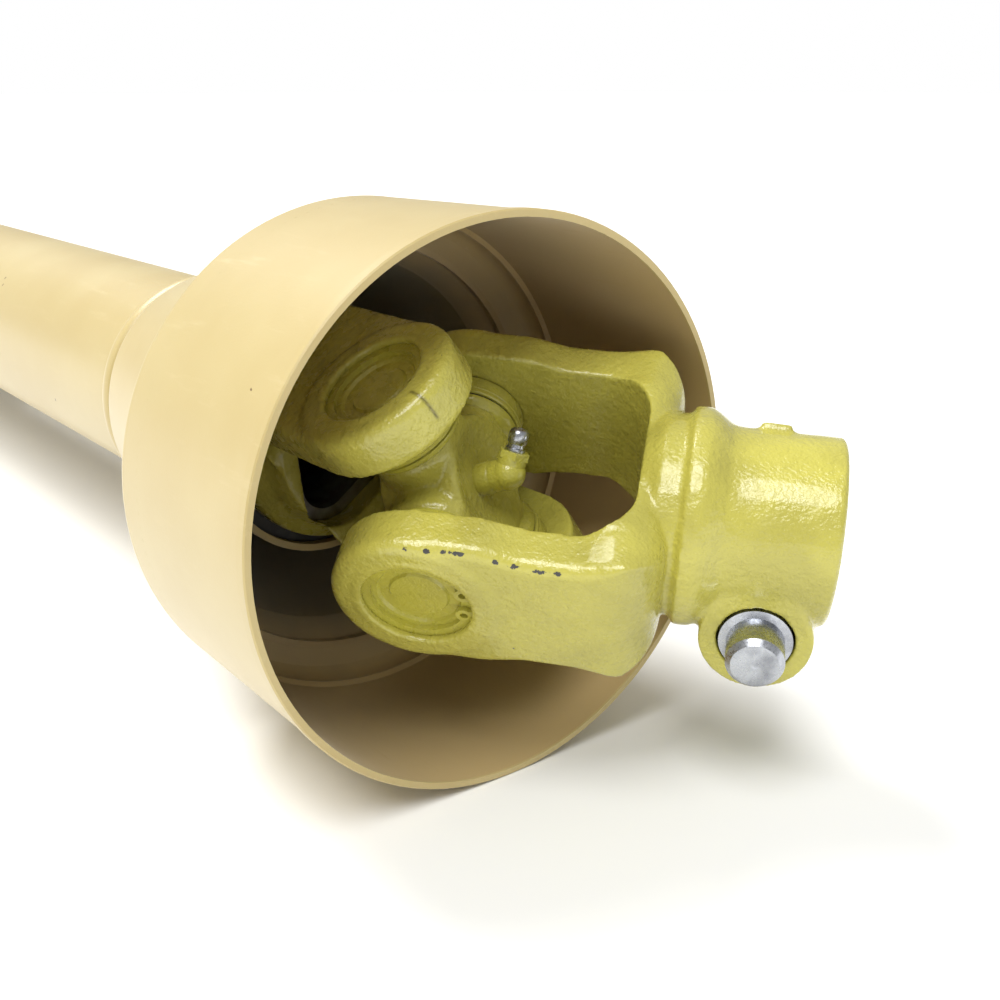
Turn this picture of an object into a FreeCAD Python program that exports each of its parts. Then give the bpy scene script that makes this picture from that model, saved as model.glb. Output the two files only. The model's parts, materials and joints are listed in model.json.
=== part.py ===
import FreeCAD, Part
import math
import os

from FreeCAD import Placement, Rotation, Vector

# Drive shaft with a cross joint at each end, a telescoping middle and a plastic guard.
# Millimetres, +Z up, the shaft lies along X. The origin is the mouth of the rear splined bore.
# Every piece of an end is drawn about the middle of its cross, with +X pointing out of the shaft.
# The ears of the tube yoke lie along Y there, and the ears of the hub yoke along Z.

# Overall sizes.
hub_reach = 107.65            # middle of the cross to the outer face of the hub
joint_distance = 710.0        # middle of one cross to the middle of the other, nearly closed
ear_roll = 126.25             # how far the ears of the tube yokes are turned about the shaft
front_fold = 33.7             # front hub yoke about the ears of its tube yoke
front_swing = -26.5           # front hub yoke about its own ears

# Cross and its bearings, the common 30.2 x 80 kit.
cap_radius = 15.1
kit_half_length = 40.0
cap_inner_radius = 12.3
cap_floor = 37.6              # inside face of a cap's closed end
cap_mouth = 25.4
needle_radius = 1.48
needle_count = 22
needle_pitch = 10.8
trunnion_radius = 9.27
trunnion_end = 36.65
shoulder_radius = 12.6
shoulder_end = 23.4
cross_core_radius = 19.0
cross_half_thickness = 14.5
grease_bore_radius = 2.2
snap_thickness = 1.5
snap_groove_radius = 16.2
snap_width = 3.2

# Forks of the yokes.
ear_radius = 24.0
ear_inner = 30.0
ear_outer = 43.75
ear_rounding = 3.5
arm_set_back = 0.8            # arms stand this much lower than the faces of their ears
fork_end = 63.5
fork_corner = 16.0
fork_plan_corner = 12.0
crotch_end = 54.0
crotch_corner = 15.0

# Hub of the outer yokes, for a six-tooth 1 3/8 inch shaft.
hub_radius = 26.2
collar_radius = 30.6
hub_start = 64.5
collar_start = 65.5
collar_end = 72.3
slope_end = 80.5
waist_radius = 28.3
spline_major_radius = 17.45
spline_minor_radius = 14.9
spline_slot_width = 8.7
spline_count = 6

# Push pin that locks the hub on the shaft.
pin_station = 89.5            # along the hub
pin_offset = 22.0             # from the hub's axis
pin_side_angle = 162.0        # where the boss sits round the hub, from +Y
boss_radius = 15.5
boss_front = 25.0             # button face, out from the middle of the pin
boss_back = 19.0
spot_face_radius = 9.4        # flat seat for the retaining ring
pin_radius = 6.44
pin_bore_radius = 6.5
pin_waist_radius = 4.0
pin_shoulder = 2.0            # where the locking part of the pin ends at rest
pin_travel = 10.0
spring_seat_radius = 8.5
spring_seat = 7.0
button_bore_radius = 10.5
button_bore_floor = 13.1
button_radius = 7.8
button_flange_radius = 9.9
button_flange_thickness = 1.7
spring_wire_radius = 0.6
spring_coil_radius = 7.5
spring_turns = 4

# Telescoping profile tubes, rounded triangles in section.
lobe_distance = 15.0
outer_tube_lobe = 12.0
outer_tube_hollow = 8.0
inner_tube_lobe = 7.6
inner_tube_hollow = 3.6
profile_tube_length = 438.0
tube_seat = 62.0              # where a profile tube ends in its yoke

# Neck of the tube yokes.
neck_radius = 33.4
neck_end = 98.0
guard_groove_radius = 30.5
guard_groove_start = 74.0
guard_groove_end = 82.0
tube_pin_radius = 5.0
tube_pin_station = 90.0

# Guard.
guard_mouth = 28.8            # mouth plane, out from the middle of the cross
mouth_radius = 80.0
guard_wall = 2.1
bell_depth = 80.0
bell_wall_length = 66.0       # how much of the bell is plain open wall
guard_cone_length = 186.0
outer_guard_radius = 39.7
inner_guard_radius = 36.8
guard_tube_wall = 2.3
guard_tube_front = 71.0       # near end of a guard tube, back from the cross
outer_guard_length = 444.0
inner_guard_length = 476.0
guard_bearing_clearance = 0.06

axis_x = Vector(1, 0, 0)
axis_y = Vector(0, 1, 0)
axis_z = Vector(0, 0, 1)
centre = Vector(0, 0, 0)
shortest_edge = 0.001


# Drawing helpers.

def outline(points):
    # Closed face in the XZ plane; a point given with a third value is the middle of an arc.
    edges = []
    place = [Vector(p[0], 0, p[1]) for p in points]
    count = len(points)
    index = 0
    while index < count:
        following = (index + 1) % count
        if len(points[following]) == 3:
            after = (index + 2) % count
            edges.append(Part.Arc(place[index], place[following], place[after]).toShape())
            index += 2
        else:
            if (place[following] - place[index]).Length > shortest_edge:
                edges.append(Part.LineSegment(place[index], place[following]).toShape())
            index += 1
    return Part.Face(Part.Wire(edges))


def arc_middle(corner_x, corner_z, radius, side_x, side_z):
    # Middle point of a quarter round whose arc centre is at the given corner.
    reach = radius / math.sqrt(2)
    return (corner_x + side_x * reach, corner_z + side_z * reach, "arc")


def turned(points):
    # Solid of revolution about X from an outline of (x, radius).
    return outline(points).revolve(centre, axis_x, 360)


def turned_about_z(points):
    # Solid of revolution about Z from an outline of (radius, z).
    return outline(points).revolve(centre, axis_z, 360)


def disc(radius, start, end):
    # Round bar along Z.
    return Part.makeCylinder(radius, end - start, Vector(0, 0, start), axis_z)


def ring(inner, outer, start, end):
    # Round sleeve along Z.
    return disc(outer, start, end).cut(disc(inner, start - 1, end + 1))


def turn(shape, axis, angle):
    copy = shape.copy()
    copy.Placement = Placement(centre, Rotation(axis, angle)).multiply(copy.Placement)
    return copy


def put(shape, placement):
    copy = shape.copy()
    copy.Placement = placement.multiply(copy.Placement)
    return copy


def both_ends(shape):
    # A piece on the +Z ear and its twin on the -Z ear.
    return [shape, turn(shape, axis_x, 180)]


# Yokes.

def fork():
    # Two ears on the Z axis, joined by a rounded base at +X.
    arm_face = ear_outer - arm_set_back
    corner = arm_face - fork_corner
    side = outline([
        (-ear_radius, ear_outer),
        (ear_radius, ear_outer),
        (ear_radius + arm_set_back, arm_face),
        (fork_end - fork_corner, arm_face),
        arc_middle(fork_end - fork_corner, corner, fork_corner, 1, 1),
        (fork_end, corner),
        (fork_end, -corner),
        arc_middle(fork_end - fork_corner, -corner, fork_corner, 1, -1),
        (fork_end - fork_corner, -arm_face),
        (ear_radius + arm_set_back, -arm_face),
        (ear_radius, -ear_outer),
        (-ear_radius, -ear_outer),
        (-ear_radius, -ear_inner),
        (crotch_end - crotch_corner, -ear_inner),
        arc_middle(crotch_end - crotch_corner, crotch_corner - ear_inner, crotch_corner, 1, -1),
        (crotch_end, crotch_corner - ear_inner),
        (crotch_end, ear_inner - crotch_corner),
        arc_middle(crotch_end - crotch_corner, ear_inner - crotch_corner, crotch_corner, 1, 1),
        (crotch_end - crotch_corner, ear_inner),
        (-ear_radius, ear_inner),
    ])
    side = side.extrude(Vector(0, 2 * ear_radius, 0))
    side.translate(Vector(0, -ear_radius, 0))

    flat = ear_radius - ear_rounding
    arm_round = arm_face - ear_rounding
    section = outline([
        (-flat, arm_face),
        (flat, arm_face),
        arc_middle(flat, arm_round, ear_rounding, 1, 1),
        (ear_radius, arm_round),
        (ear_radius, -arm_round),
        arc_middle(flat, -arm_round, ear_rounding, 1, -1),
        (flat, -arm_face),
        (-flat, -arm_face),
        arc_middle(-flat, -arm_round, ear_rounding, -1, -1),
        (-ear_radius, -arm_round),
        (-ear_radius, arm_round),
        arc_middle(-flat, arm_round, ear_rounding, -1, 1),
    ])
    bar = turn(section, axis_z, 90).extrude(Vector(fork_end, 0, 0))

    inner = fork_end - fork_plan_corner
    width = ear_radius - fork_plan_corner
    plan = outline([
        (-1, ear_radius),
        (inner, ear_radius),
        arc_middle(inner, width, fork_plan_corner, 1, 1),
        (fork_end, width),
        (fork_end, -width),
        arc_middle(inner, -width, fork_plan_corner, 1, -1),
        (inner, -ear_radius),
        (-1, -ear_radius),
    ])
    plan = turn(plan, axis_x, 90).extrude(Vector(0, 0, 2 * ear_outer))
    plan.translate(Vector(0, 0, -ear_outer))

    tall = ear_outer - ear_rounding
    head = turned_about_z([
        (0, ear_outer),
        (flat, ear_outer),
        arc_middle(flat, tall, ear_rounding, 1, 1),
        (ear_radius, tall),
        (ear_radius, -tall),
        arc_middle(flat, -tall, ear_rounding, 1, -1),
        (flat, -ear_outer),
        (0, -ear_outer),
    ])
    return bar.common(plan).fuse(head).common(side)


def ear_bores():
    # Bearing bores and their snap-ring grooves, on both ears.
    bore = disc(cap_radius, ear_inner - 8, ear_outer + 5)
    groove = disc(snap_groove_radius, kit_half_length, kit_half_length + snap_thickness + 0.05)
    cutter = bore.fuse(groove)
    return cutter.fuse(turn(cutter, axis_x, 180))


def spline_bore(start, end):
    # Six-slot bore along X, with one slot straight under the push pin.
    tool = Part.makeCylinder(spline_minor_radius, end - start, Vector(start, 0, 0), axis_x)
    slot = Part.makeBox(end - start, spline_slot_width, spline_major_radius)
    slot.translate(Vector(start, -spline_slot_width / 2, 0))
    rim = Part.makeCylinder(spline_major_radius, end - start, Vector(start, 0, 0), axis_x)
    for tooth in range(spline_count):
        angle = pin_side_angle - 90 + tooth * 360 / spline_count
        tool = tool.fuse(turn(slot, axis_x, angle).common(rim))
    return tool


def pin_frame():
    # Frame of the push pin: its +Z leaves the button, its origin is nearest the hub's axis.
    side = math.radians(pin_side_angle)
    place = Vector(pin_station, pin_offset * math.cos(side), pin_offset * math.sin(side))
    return Placement(place, Rotation(axis_x, pin_side_angle - 180))


def hub_yoke():
    edge = 1.2
    hub = turned([
        (crotch_end, 0),
        (crotch_end, waist_radius - 4),
        (fork_end - 4, waist_radius),
        (collar_start, waist_radius),
        (collar_start + edge, collar_radius),
        (collar_end - edge, collar_radius),
        (collar_end + edge, collar_radius - edge),
        (slope_end - 3, hub_radius + 0.3),
        (slope_end, hub_radius),
        (hub_reach - edge, hub_radius),
        (hub_reach, hub_radius - edge),
        (hub_reach, 0),
    ])
    boss = put(disc(boss_radius, -boss_back, boss_front), pin_frame())
    pad_length = 8.5
    pad_width = 9.0
    pad = Part.makeBox(pad_length, pad_width, 2.0)
    pad.translate(Vector(pin_station - 5.0, -pad_width / 2, hub_radius - 0.2))
    pad = turn(pad, axis_x, pin_side_angle + 63)

    body = fork().fuse(hub).fuse(boss).fuse(pad)
    body = body.cut(ear_bores()).cut(spline_bore(crotch_end - 20, hub_reach + 1))
    pin_hole = disc(pin_bore_radius, -boss_back - 1, boss_front + 1)
    spot_face = disc(spot_face_radius, -2 * hub_radius, -boss_back)
    seat_hole = disc(spring_seat_radius, spring_seat, boss_front + 1)
    button_hole = disc(button_bore_radius, button_bore_floor, boss_front + 1)
    holes = pin_hole.fuse(spot_face).fuse(seat_hole).fuse(button_hole)
    return body.cut(put(holes, pin_frame()))


def beyond(start):
    # Everything outward of the given place on the hub's axis.
    width = 200
    block = Part.makeBox(2 * hub_reach, width, width)
    block.translate(Vector(start, -width / 2, -width / 2))
    return block


def hub_yoke_parts():
    # The forging in three simple pieces: the hub itself, the base that joins the arms, and the two arms.
    whole = hub_yoke()
    arms = whole.cut(beyond(crotch_end))
    rest = whole.common(beyond(crotch_end))
    hub = rest.common(beyond(hub_start))
    base = rest.cut(beyond(hub_start))
    return hub.Solids, base.Solids, arms.Solids


def lobed(radius, start, end):
    # Rounded triangle bar along -X.
    arcs = []
    for lobe in range(3):
        angle = math.radians(120 * lobe)
        middle = Vector(0, lobe_distance * math.cos(angle), lobe_distance * math.sin(angle))
        ends = []
        for step in (-60, 0, 60):
            turn_angle = angle + math.radians(step)
            ends.append(middle + Vector(0, radius * math.cos(turn_angle), radius * math.sin(turn_angle)))
        arcs.append(ends)
    edges = []
    for lobe in range(3):
        first, middle, last = arcs[lobe]
        edges.append(Part.Arc(first, middle, last).toShape())
        edges.append(Part.LineSegment(last, arcs[(lobe + 1) % 3][0]).toShape())
    face = Part.Face(Part.Wire(edges))
    bar = face.extrude(Vector(start - end, 0, 0))
    bar.translate(Vector(-start, 0, 0))
    return bar


def tube_pin_hole(radius):
    return Part.makeCylinder(radius, 2 * neck_radius + 2, Vector(-tube_pin_station, 0, -neck_radius - 1), axis_z)


def tube_yoke(lobe_radius):
    edge = 1.5
    neck = turned([
        (-crotch_end + 1, 0),
        (-neck_end, 0),
        (-neck_end, neck_radius - edge),
        (-neck_end + edge, neck_radius),
        (-guard_groove_end, neck_radius),
        (-guard_groove_end, guard_groove_radius),
        (-guard_groove_start, guard_groove_radius),
        (-guard_groove_start, neck_radius),
        (-fork_end - 2, neck_radius),
        (-fork_end + 3, neck_radius - 5),
        (-crotch_end + 1, neck_radius - 8),
    ])
    ends = fork().cut(ear_bores())
    ends = turn(turn(ends, axis_z, 180), axis_x, 90)
    body = ends.fuse(neck)
    body = body.cut(lobed(lobe_radius, crotch_end - 20, neck_end + 1))
    return body.cut(tube_pin_hole(tube_pin_radius))


def profile_tube(lobe_radius, hollow_radius):
    end = tube_seat + profile_tube_length
    tube = lobed(lobe_radius, tube_seat, end).cut(lobed(hollow_radius, tube_seat - 1, end + 1))
    return tube.cut(tube_pin_hole(tube_pin_radius))


def tube_pin():
    length = neck_radius - 0.4
    pin = ring(tube_pin_radius - 1.8, tube_pin_radius, -length, length)
    slit = Part.makeBox(10, 1.2, 3 * neck_radius)
    slit.translate(Vector(0, -0.6, -1.5 * neck_radius))
    pin = pin.cut(slit)
    pin.translate(Vector(-tube_pin_station, 0, 0))
    return pin


# Cross and bearings.

def cross():
    edge = 0.8
    slope = 3.0
    body = turned([
        (-cross_half_thickness, 0),
        (-cross_half_thickness, cross_core_radius - slope),
        (slope - cross_half_thickness, cross_core_radius),
        (cross_half_thickness - slope, cross_core_radius),
        (cross_half_thickness, cross_core_radius - slope),
        (cross_half_thickness, 0),
    ])
    arm = turned_about_z([
        (0, 0),
        (cross_half_thickness, 0),
        (cross_half_thickness, shoulder_end - 4),
        (shoulder_radius, shoulder_end - 1.5),
        (shoulder_radius, shoulder_end),
        (trunnion_radius, shoulder_end),
        (trunnion_radius, trunnion_end - edge),
        (trunnion_radius - edge, trunnion_end),
        (0, trunnion_end),
    ])
    bore = disc(grease_bore_radius, -trunnion_end - 1, trunnion_end + 1)
    for quarter in range(4):
        body = body.fuse(turn(arm, axis_x, 90 * quarter))
    body = body.cut(bore).cut(turn(bore, axis_x, 90))
    return body.cut(nipple_thread())


def nipple_thread():
    # Threaded shank of the grease elbow, from the middle of the cross out through its face.
    return Part.makeCylinder(3.0, cross_half_thickness + 2 - 5, Vector(5, 0, 0), axis_x)


def nipple_frame():
    # The nipple leaves the elbow between two arms of the cross, leaning outwards.
    lean = math.radians(30)
    way = Vector(math.sin(lean), math.cos(lean) / math.sqrt(2), -math.cos(lean) / math.sqrt(2))
    return Placement(Vector(19.0, 0, 0), Rotation(axis_z, way))


def hexagon(across, start, end):
    corner = across / math.sqrt(3)
    corners = []
    for side in range(7):
        angle = math.radians(60 * side)
        corners.append(Vector(corner * math.cos(angle), corner * math.sin(angle), start))
    return Part.Face(Part.makePolygon(corners)).extrude(Vector(0, 0, end - start))


def nipple_elbow():
    shank = nipple_thread()
    foot = Part.makeCylinder(4.6, 4.5, Vector(cross_half_thickness, 0, 0), axis_x)
    knee = Part.makeSphere(4.9, Vector(19.0, 0, 0))
    arm = disc(4.2, 0, 5.2).fuse(hexagon(8.0, 4.4, 6.6))
    passage = disc(1.0, 0, 8)
    body = shank.fuse(foot).fuse(knee).fuse(put(arm, nipple_frame()))
    inlet = Part.makeCylinder(1.0, 15, Vector(4, 0, 0), axis_x)
    return body.cut(put(passage, nipple_frame())).cut(inlet)


def nipple_head():
    head = turned_about_z([
        (1.0, 6.6),
        (3.1, 6.6),
        (3.1, 8.4),
        (2.1, 9.4),
        (2.1, 10.4),
        (3.1, 11.6),
        (3.1, 12.4),
        (1.9, 13.6),
        (0.8, 13.6),
        (0.8, 12.9),
        (1.0, 12.6),
    ])
    return put(head, nipple_frame())


def nipple_ball():
    return put(Part.makeSphere(0.95, Vector(0, 0, 11.8)), nipple_frame())


def bearing_cap():
    edge = 0.8
    return turned_about_z([
        (cap_inner_radius, cap_mouth),
        (cap_radius, cap_mouth),
        (cap_radius, kit_half_length - edge),
        (cap_radius - edge, kit_half_length),
        (11.6, kit_half_length),
        (11.0, kit_half_length - 0.9),
        (8.4, kit_half_length - 0.9),
        (7.8, kit_half_length - 0.2),
        (0, kit_half_length - 0.2),
        (0, cap_floor),
        (cap_inner_radius, cap_floor),
    ])


def thrust_washer():
    return ring(grease_bore_radius + 0.5, cap_inner_radius - 0.3, trunnion_end + 0.05, cap_floor)


def seal():
    # Rubber ring on the mouth of a cap, with its lip just off the trunnion.
    return turned_about_z([
        (trunnion_radius + 0.15, shoulder_end + 0.15),
        (cap_radius + 0.3, shoulder_end + 0.15),
        (cap_radius + 0.5, shoulder_end + 0.5),
        (cap_radius + 0.5, cap_mouth - 0.3),
        (cap_radius + 0.2, cap_mouth),
        (trunnion_radius + 0.6, cap_mouth),
        (trunnion_radius + 0.15, cap_mouth - 0.5),
    ])


def needles():
    # One full row of rollers between a trunnion and its cap.
    rollers = []
    length = trunnion_end - cap_mouth - 1.2
    for place in range(needle_count):
        angle = 2 * math.pi * place / needle_count
        spot = Vector(needle_pitch * math.cos(angle), needle_pitch * math.sin(angle), cap_mouth + 0.4)
        rollers.append(Part.makeCylinder(needle_radius, length, spot, axis_z))
    return rollers


def snap_ring():
    # Open ring with two lugs for pliers.
    start = kit_half_length
    end = kit_half_length + snap_thickness
    body = ring(snap_groove_radius - snap_width, snap_groove_radius, start, end)
    lug_place = snap_groove_radius - snap_width - 0.6
    gap = Part.makeBox(snap_groove_radius, 4.6, snap_thickness + 2)
    gap.translate(Vector(4, -2.3, start - 1))
    body = body.cut(gap)
    for side in (-1, 1):
        lug = disc(2.3, start, end)
        lug.translate(Vector(lug_place, side * 4.2, 0))
        hole = disc(1.1, start - 1, end + 1)
        hole.translate(Vector(lug_place, side * 4.2, 0))
        body = body.fuse(lug).cut(hole)
    return body.common(disc(snap_groove_radius, start, end))


# Push pin.

def button_flange():
    # Underside of the button's flange: its full travel above the floor of its bore.
    return button_bore_floor + pin_travel + 0.1


def lock_pin():
    retainer = boss_back + 0.2
    groove_radius = pin_radius - 1.1
    flange = button_flange()
    flange_top = flange + button_flange_thickness
    button_top = boss_front + 11.0
    body = turned_about_z([
        (0, -retainer - 2.4),
        (pin_radius - 1.0, -retainer - 2.4),
        (pin_radius, -retainer - 1.4),
        (pin_radius, -retainer - 1.2),
        (groove_radius, -retainer - 1.2),
        (groove_radius, -retainer),
        (pin_radius, -retainer),
        (pin_radius, pin_shoulder),
        (pin_waist_radius, pin_shoulder + 2.4),
        (pin_waist_radius, flange),
        (button_flange_radius, flange),
        (button_flange_radius, flange_top),
        (button_radius, flange_top + 0.4),
        (button_radius, button_top - 1.8),
        (button_radius - 1.4, button_top - 0.3),
        (0, button_top),
    ])
    return put(body, pin_frame())


def lock_spring():
    # Round-wire coil between its seat and the button's flange, in short straight runs.
    steps_per_turn = 16
    low = spring_seat + spring_wire_radius + 0.02
    high = button_flange() - spring_wire_radius - 0.02
    points = []
    for step in range(spring_turns * steps_per_turn + 1):
        share = step / (spring_turns * steps_per_turn)
        angle = 2 * math.pi * spring_turns * share
        height = low + (high - low) * share
        points.append(Vector(
            spring_coil_radius * math.cos(angle), spring_coil_radius * math.sin(angle), height))
    runs = [Part.LineSegment(a, b).toShape() for a, b in zip(points, points[1:])]
    start = Part.Circle(points[0], points[1] - points[0], spring_wire_radius).toShape()
    coil = Part.Wire(runs).makePipeShell([Part.Wire(start)], True, False, 1)
    return put(coil, pin_frame())


def lock_retainer():
    thickness = 1.0
    start = -boss_back - 0.2 - 0.1 - thickness
    body = ring(pin_radius - 1.1, pin_radius + 2.2, start, start + thickness)
    gap = Part.makeBox(20, 6.0, 4)
    gap.translate(Vector(0, -3.0, start - 1))
    return put(body.cut(gap), pin_frame())


# Guard.

def guard_cone(tube_radius):
    # A deep bell, a stepped back wall, a tapering neck and a beaded collar that grips the guard tube.
    mouth = guard_mouth
    rim = mouth_radius
    lip = 3.6
    lip_height = 0.45
    back = mouth - bell_depth
    bead = mouth - 180.0
    collar_end = mouth - guard_cone_length
    grip = mouth - 168.0
    collar_radius = 42.2
    return turned([
        (mouth, rim - guard_wall),
        (mouth, rim - 0.4),
        (mouth - 0.4, rim),
        (mouth - lip, rim),
        (mouth - lip - 0.3, rim - lip_height),
        (back + 5.0, rim - 1.7),
        (back + 1.2, rim - 3.0, "arc"),
        (back - 0.3, rim - 6.5),
        (back - 3.0, rim - 12.0),
        (back - 5.5, rim - 15.5, "arc"),
        (back - 9.5, rim - 18.0),
        (grip, 46.2),
        (grip - 4.0, 44.6, "arc"),
        (grip - 6.2, collar_radius),
        (grip - 8.4, collar_radius),
        (bead + 2.4, collar_radius + 1.0),
        (bead, collar_radius + 1.5, "arc"),
        (bead - 2.4, collar_radius + 1.0),
        (bead - 3.4, collar_radius),
        (collar_end, collar_radius),
        (collar_end, tube_radius),
        (grip, tube_radius),
        (grip, outer_guard_radius),
        (grip + 8.0, 44.9),
        (back - 9.5, rim - 20.6),
        (back - 4.6, rim - 17.2, "arc"),
        (back - 1.6, rim - 14.2),
        (back - 1.6, rim - 15.4),
        (back + 0.6, rim - 15.4),
        (back + 0.6, rim - 13.4),
        (back + 3.0, rim - 8.0),
        (back + 6.0, rim - 5.3, "arc"),
        (back + 10.0, rim - 5.3),
        (back + 11.0, rim - 3.9),
    ])


def guard_cone_parts(tube_radius):
    # The moulding in two simple pieces: the bell's open wall, and everything behind it.
    whole = guard_cone(tube_radius)
    reach = 3 * mouth_radius
    front = Part.makeBox(reach, 2 * reach, 2 * reach)
    front.translate(Vector(guard_mouth - bell_wall_length, -reach, -reach))
    return whole.common(front).Solids, whole.cut(front).Solids


def bearing_lugs(tube_radius, slack):
    lugs = []
    width = 14.0
    for spoke in range(3):
        lug = Part.makeBox(4.4, width, 8.0)
        lug.translate(Vector(-guard_groove_end + 1.8, -width / 2, tube_radius - 4.0))
        lug = turn(lug, axis_x, 120 * spoke + 30)
        lugs.append(lug)
    solid = lugs[0].fuse(lugs[1]).fuse(lugs[2])
    skin = Part.makeCylinder(tube_radius - slack, 20, Vector(-guard_groove_end - 5, 0, 0), axis_x)
    return solid.common(skin)


def guard_tube(radius, length):
    start = guard_tube_front
    tube = turned([
        (-start, radius - guard_tube_wall),
        (-start, radius),
        (-start - length, radius),
        (-start - length, radius - guard_tube_wall),
    ])
    return tube.cut(bearing_lugs(radius, 0.0))


def guard_bearing(radius):
    gap = 0.3
    body = turned([
        (-guard_groove_start - gap, guard_groove_radius + guard_bearing_clearance),
        (-guard_groove_start - gap, radius - guard_tube_wall),
        (-guard_groove_end + gap, radius - guard_tube_wall),
        (-guard_groove_end + gap, guard_groove_radius + guard_bearing_clearance),
    ])
    return body.fuse(bearing_lugs(radius, 0.1))


# Building.

def save(name, shape):
    solids = shape if isinstance(shape, list) else [shape]
    if len(solids) == 1:
        result = solids[0].removeSplitter() if solids[0].ShapeType != "Solid" else solids[0]
    else:
        result = Part.makeCompound(solids)
    result.exportStep("parts/" + name + ".step")
    volume = sum(s.Volume for s in result.Solids)
    box = result.BoundBox
    print("%-26s solids %3d  volume %10.1f  x %7.1f..%7.1f  y %6.1f..%6.1f  z %6.1f..%6.1f %s" % (
        name, len(result.Solids), volume, box.XMin, box.XMax, box.YMin, box.YMax,
        box.ZMin, box.ZMax, "" if result.isValid() else "NOT VALID"))


def build_end(name, base, fold, swing, tube_lobe, tube_hollow, guard_radius, guard_length):
    cross_place = base.multiply(Placement(centre, Rotation(axis_y, fold)))
    hub_place = cross_place.multiply(Placement(centre, Rotation(axis_z, swing)))
    # Bearings of the tube yoke lie along Y, so they are drawn along Z and turned.
    tube_ears = base.multiply(Placement(centre, Rotation(axis_x, -90)))

    bell_wall, neck = guard_cone_parts(guard_radius)
    save(name + "_guard_bell", [put(solid, base) for solid in bell_wall])
    save(name + "_guard_neck", [put(solid, base) for solid in neck])
    save(name + "_guard_tube", put(guard_tube(guard_radius, guard_length), base))
    save(name + "_guard_bearing", put(guard_bearing(guard_radius), base))

    save(name + "_tube_yoke", put(tube_yoke(tube_lobe), base))
    save(name + "_profile_tube", put(profile_tube(tube_lobe, tube_hollow), base))
    save(name + "_tube_pin", put(tube_pin(), base))

    save(name + "_cross", put(cross(), cross_place))
    save(name + "_grease_elbow", put(nipple_elbow(), cross_place))
    save(name + "_grease_nipple", put(nipple_head(), cross_place))
    save(name + "_grease_ball", put(nipple_ball(), cross_place))

    hub_sleeve, hub_base, hub_arms = hub_yoke_parts()
    save(name + "_hub_yoke", [put(solid, hub_place) for solid in hub_sleeve])
    save(name + "_hub_base", [put(solid, hub_place) for solid in hub_base])
    save(name + "_hub_arms", [put(solid, hub_place) for solid in hub_arms])
    save(name + "_lock_pin", put(lock_pin(), hub_place))
    save(name + "_lock_spring", put(lock_spring(), hub_place))
    save(name + "_lock_retainer", put(lock_retainer(), hub_place))

    for ears, place in (("tube", tube_ears), ("hub", hub_place)):
        for side, angle in (("a", 0), ("b", 180)):
            cap = turn(bearing_cap(), axis_x, angle)
            save("%s_%s_cap_%s" % (name, ears, side), put(cap, place))
        groups = (
            ("seals", both_ends(seal())),
            ("snap_rings", both_ends(snap_ring())),
            ("thrust_washers", both_ends(thrust_washer())),
            ("needles", needles() + [turn(roller, axis_x, 180) for roller in needles()]),
        )
        for label, solids in groups:
            save("%s_%s_%s" % (name, ears, label), [put(solid, place) for solid in solids])


os.makedirs("parts", exist_ok=True)
ears_turned = Rotation(axis_x, ear_roll)
ear_line = ears_turned.multVec(axis_y)
front_base = Placement(Vector(hub_reach + joint_distance, 0, 0), ears_turned)
rear_base = Placement(Vector(hub_reach, 0, 0), Rotation(ear_line, 180).multiply(ears_turned))
build_end("front", front_base, front_fold, front_swing,
          outer_tube_lobe, outer_tube_hollow, outer_guard_radius, outer_guard_length)
build_end("rear", rear_base, 0.0, 0.0,
          inner_tube_lobe, inner_tube_hollow, inner_guard_radius, inner_guard_length)
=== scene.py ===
import json
import math
import bmesh
import bpy
import numpy as np
from mathutils import Matrix, Vector


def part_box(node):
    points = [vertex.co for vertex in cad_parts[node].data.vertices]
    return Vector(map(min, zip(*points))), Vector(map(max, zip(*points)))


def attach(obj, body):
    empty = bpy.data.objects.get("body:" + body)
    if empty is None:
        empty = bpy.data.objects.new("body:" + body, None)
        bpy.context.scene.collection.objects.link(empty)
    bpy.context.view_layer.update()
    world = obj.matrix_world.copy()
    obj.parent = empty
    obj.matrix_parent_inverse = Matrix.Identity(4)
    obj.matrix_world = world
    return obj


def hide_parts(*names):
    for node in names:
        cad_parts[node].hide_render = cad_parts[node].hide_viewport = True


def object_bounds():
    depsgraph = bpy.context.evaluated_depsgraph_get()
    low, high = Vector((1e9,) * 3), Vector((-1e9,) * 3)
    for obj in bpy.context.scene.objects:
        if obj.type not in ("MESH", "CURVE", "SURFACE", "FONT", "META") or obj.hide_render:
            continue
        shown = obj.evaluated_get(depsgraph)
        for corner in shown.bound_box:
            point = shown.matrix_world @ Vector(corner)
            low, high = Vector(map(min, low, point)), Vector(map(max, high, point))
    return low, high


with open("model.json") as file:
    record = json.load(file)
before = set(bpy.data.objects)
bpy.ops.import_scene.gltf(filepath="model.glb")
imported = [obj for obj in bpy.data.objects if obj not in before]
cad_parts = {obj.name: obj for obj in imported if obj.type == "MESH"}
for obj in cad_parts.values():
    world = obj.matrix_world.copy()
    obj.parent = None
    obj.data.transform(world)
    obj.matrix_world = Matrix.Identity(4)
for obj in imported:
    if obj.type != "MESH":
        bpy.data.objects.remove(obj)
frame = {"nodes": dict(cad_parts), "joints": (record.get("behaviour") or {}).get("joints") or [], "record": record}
cadLow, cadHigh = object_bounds()

scene = bpy.context.scene
nodes = frame["nodes"]
joints = {joint["name"]: joint for joint in frame["joints"]}
mounts = {mount["name"]: mount for mount in frame["record"]["mounts"]}
ends = ("front", "rear")
mm = 0.001


# Places read from the frame

def jointCentre(end):
    return Vector(joints[end + "_fold"]["pos_m"])


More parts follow.
